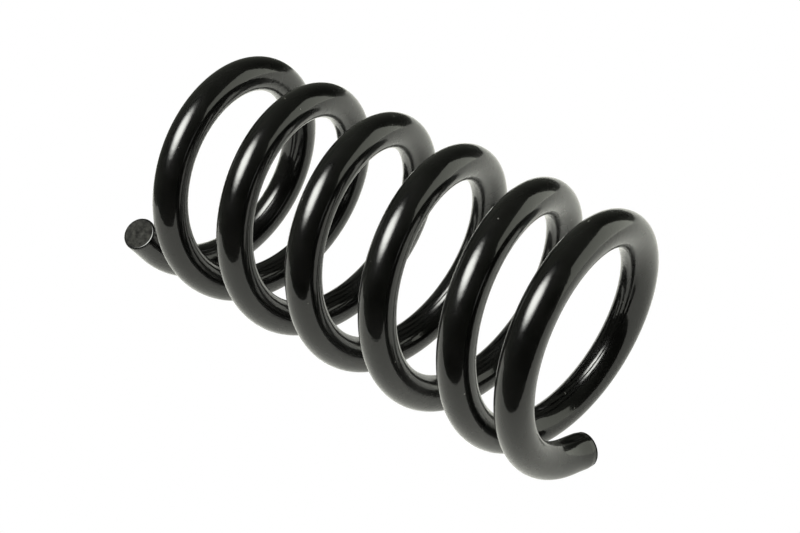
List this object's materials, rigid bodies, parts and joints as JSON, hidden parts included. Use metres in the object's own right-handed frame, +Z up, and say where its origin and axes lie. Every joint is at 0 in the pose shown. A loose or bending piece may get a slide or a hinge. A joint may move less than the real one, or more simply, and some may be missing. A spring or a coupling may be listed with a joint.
{
  "type": "coil spring",
  "caption": "Gloss black coil compression spring of round wire with straight, square-cut tails and partly closed ends, as used between two seats in a vehicle's suspension.",
  "frame": {"origin": "on the ground under the middle of the spring, which lies on its side", "axes": "+X along the spring's axis from the lower end to the upper end, +Y away from the side seen in the picture, +Z up"},
  "size_m": [0.2421, 0.1158, 0.1158],
  "materials": {
    "coated_wire": "smooth gloss black powder coat over steel"
  },
  "bodies": {
    "lower_end_coil_body": {"lower_end_coil": "coated_wire"},
    "coil_1_top_body": {"coil_1_top": "coated_wire"},
    "coil_1_front_body": {"coil_1_front": "coated_wire"},
    "coil_1_bottom_body": {"coil_1_bottom": "coated_wire"},
    "coil_1_back_body": {"coil_1_back": "coated_wire"},
    "coil_2_top_body": {"coil_2_top": "coated_wire"},
    "coil_2_front_body": {"coil_2_front": "coated_wire"},
    "coil_2_bottom_body": {"coil_2_bottom": "coated_wire"},
    "coil_2_back_body": {"coil_2_back": "coated_wire"},
    "coil_3_top_body": {"coil_3_top": "coated_wire"},
    "coil_3_front_body": {"coil_3_front": "coated_wire"},
    "coil_3_bottom_body": {"coil_3_bottom": "coated_wire"},
    "coil_3_back_body": {"coil_3_back": "coated_wire"},
    "coil_4_top_body": {"coil_4_top": "coated_wire"},
    "coil_4_front_body": {"coil_4_front": "coated_wire"},
    "coil_4_bottom_body": {"coil_4_bottom": "coated_wire"},
    "coil_4_back_body": {"coil_4_back": "coated_wire"},
    "coil_5_top_body": {"coil_5_top": "coated_wire"},
    "coil_5_front_body": {"coil_5_front": "coated_wire"},
    "coil_5_bottom_body": {"coil_5_bottom": "coated_wire"},
    "upper_end_coil_body": {"upper_end_coil": "coated_wire"}
  },
  "joints": [
    {"name": "twist_01", "type": "hinge", "parent": "lower_end_coil_body", "child": "coil_1_top_body", "pos_m": [-0.09923, 0.03535, 0.09335], "axis": [-0.0288, 0.7068, -0.7068], "range_deg": [0, 3.25], "stiffness_Nm_per_rad": 2000},
    {"name": "twist_02", "type": "hinge", "parent": "coil_1_top_body", "child": "coil_1_front_body", "pos_m": [-0.09141, -0.03535, 0.09335], "axis": [-0.0288, 0.7068, 0.7068], "range_deg": [0, 3.25], "stiffness_Nm_per_rad": 2000},
    {"name": "twist_03", "type": "hinge", "parent": "coil_1_front_body", "child": "coil_1_bottom_body", "pos_m": [-0.08176, -0.03535, 0.02264], "axis": [-0.0288, -0.7068, 0.7068], "range_deg": [0, 6.5], "stiffness_Nm_per_rad": 1000},
    {"name": "twist_04", "type": "hinge", "parent": "coil_1_bottom_body", "child": "coil_1_back_body", "pos_m": [-0.07135, 0.03535, 0.02264], "axis": [-0.0288, -0.7068, -0.7068], "range_deg": [0, 6.5], "stiffness_Nm_per_rad": 1000},
    {"name": "twist_05", "type": "hinge", "parent": "coil_1_back_body", "child": "coil_2_top_body", "pos_m": [-0.06092, 0.03535, 0.09335], "axis": [-0.0288, 0.7068, -0.7068], "range_deg": [0, 6.5], "stiffness_Nm_per_rad": 1000},
    {"name": "twist_06", "type": "hinge", "parent": "coil_2_top_body", "child": "coil_2_front_body", "pos_m": [-0.0505, -0.03535, 0.09335], "axis": [-0.0288, 0.7068, 0.7068], "range_deg": [0, 6.5], "stiffness_Nm_per_rad": 1000},
    {"name": "twist_07", "type": "hinge", "parent": "coil_2_front_body", "child": "coil_2_bottom_body", "pos_m": [-0.04007, -0.03535, 0.02264], "axis": [-0.0288, -0.7068, 0.7068], "range_deg": [0, 6.5], "stiffness_Nm_per_rad": 1000},
    {"name": "twist_08", "type": "hinge", "parent": "coil_2_bottom_body", "child": "coil_2_back_body", "pos_m": [-0.02965, 0.03535, 0.02264], "axis": [-0.0288, -0.7068, -0.7068], "range_deg": [0, 6.5], "stiffness_Nm_per_rad": 1000},
    {"name": "twist_09", "type": "hinge", "parent": "coil_2_back_body", "child": "coil_3_top_body", "pos_m": [-0.01922, 0.03535, 0.09335], "axis": [-0.0288, 0.7068, -0.7068], "range_deg": [0, 6.5], "stiffness_Nm_per_rad": 1000},
    {"name": "twist_10", "type": "hinge", "parent": "coil_3_top_body", "child": "coil_3_front_body", "pos_m": [-0.0088, -0.03535, 0.09335], "axis": [-0.0288, 0.7068, 0.7068], "range_deg": [0, 6.5], "stiffness_Nm_per_rad": 1000},
    {"name": "compress", "type": "hinge", "parent": "coil_3_front_body", "child": "coil_3_bottom_body", "pos_m": [0.00162, -0.03535, 0.02264], "axis": [-0.0288, -0.7068, 0.7068], "range_deg": [0, 6.5], "stiffness_Nm_per_rad": 1000},
    {"name": "twist_12", "type": "hinge", "parent": "coil_3_bottom_body", "child": "coil_3_back_body", "pos_m": [0.01205, 0.03535, 0.02264], "axis": [-0.0288, -0.7068, -0.7068], "range_deg": [0, 6.5], "stiffness_Nm_per_rad": 1000},
    {"name": "twist_13", "type": "hinge", "parent": "coil_3_back_body", "child": "coil_4_top_body", "pos_m": [0.02247, 0.03535, 0.09335], "axis": [-0.0288, 0.7068, -0.7068], "range_deg": [0, 6.5], "stiffness_Nm_per_rad": 1000},
    {"name": "twist_14", "type": "hinge", "parent": "coil_4_top_body", "child": "coil_4_front_body", "pos_m": [0.0329, -0.03535, 0.09335], "axis": [-0.0288, 0.7068, 0.7068], "range_deg": [0, 6.5], "stiffness_Nm_per_rad": 1000},
    {"name": "twist_15", "type": "hinge", "parent": "coil_4_front_body", "child": "coil_4_bottom_body", "pos_m": [0.04333, -0.03535, 0.02264], "axis": [-0.0288, -0.7068, 0.7068], "range_deg": [0, 6.5], "stiffness_Nm_per_rad": 1000},
    {"name": "twist_16", "type": "hinge", "parent": "coil_4_bottom_body", "child": "coil_4_back_body", "pos_m": [0.05375, 0.03535, 0.02264], "axis": [-0.0288, -0.7068, -0.7068], "range_deg": [0, 6.5], "stiffness_Nm_per_rad": 1000},
    {"name": "twist_17", "type": "hinge", "parent": "coil_4_back_body", "child": "coil_5_top_body", "pos_m": [0.06417, 0.03535, 0.09335], "axis": [-0.0288, 0.7068, -0.7068], "range_deg": [0, 6.5], "stiffness_Nm_per_rad": 1000},
    {"name": "twist_18", "type": "hinge", "parent": "coil_5_top_body", "child": "coil_5_front_body", "pos_m": [0.0746, -0.03535, 0.09335], "axis": [-0.0288, 0.7068, 0.7068], "range_deg": [0, 6.5], "stiffness_Nm_per_rad": 1000},
    {"name": "twist_19", "type": "hinge", "parent": "coil_5_front_body", "child": "coil_5_bottom_body", "pos_m": [0.08503, -0.03535, 0.02264], "axis": [-0.0288, -0.7068, 0.7068], "range_deg": [0, 3.25], "stiffness_Nm_per_rad": 2000},
    {"name": "twist_20", "type": "hinge", "parent": "coil_5_bottom_body", "child": "upper_end_coil_body", "pos_m": [0.09498, 0.03535, 0.02264], "axis": [-0.0288, -0.7068, -0.7068], "range_deg": [0, 3.25], "stiffness_Nm_per_rad": 2000}
  ],
  "couplings": [
    {"joint": "twist_01", "follows": "compress", "ratio": 0.5},
    {"joint": "twist_02", "follows": "compress", "ratio": 0.5},
    {"joint": "twist_03", "follows": "compress", "ratio": 1},
    {"joint": "twist_04", "follows": "compress", "ratio": 1},
    {"joint": "twist_05", "follows": "compress", "ratio": 1},
    {"joint": "twist_06", "follows": "compress", "ratio": 1},
    {"joint": "twist_07", "follows": "compress", "ratio": 1},
    {"joint": "twist_08", "follows": "compress", "ratio": 1},
    {"joint": "twist_09", "follows": "compress", "ratio": 1},
    {"joint": "twist_10", "follows": "compress", "ratio": 1},
    {"joint": "twist_12", "follows": "compress", "ratio": 1},
    {"joint": "twist_13", "follows": "compress", "ratio": 1},
    {"joint": "twist_14", "follows": "compress", "ratio": 1},
    {"joint": "twist_15", "follows": "compress", "ratio": 1},
    {"joint": "twist_16", "follows": "compress", "ratio": 1},
    {"joint": "twist_17", "follows": "compress", "ratio": 1},
    {"joint": "twist_18", "follows": "compress", "ratio": 1},
    {"joint": "twist_19", "follows": "compress", "ratio": 0.5},
    {"joint": "twist_20", "follows": "compress", "ratio": 0.5}
  ]
}
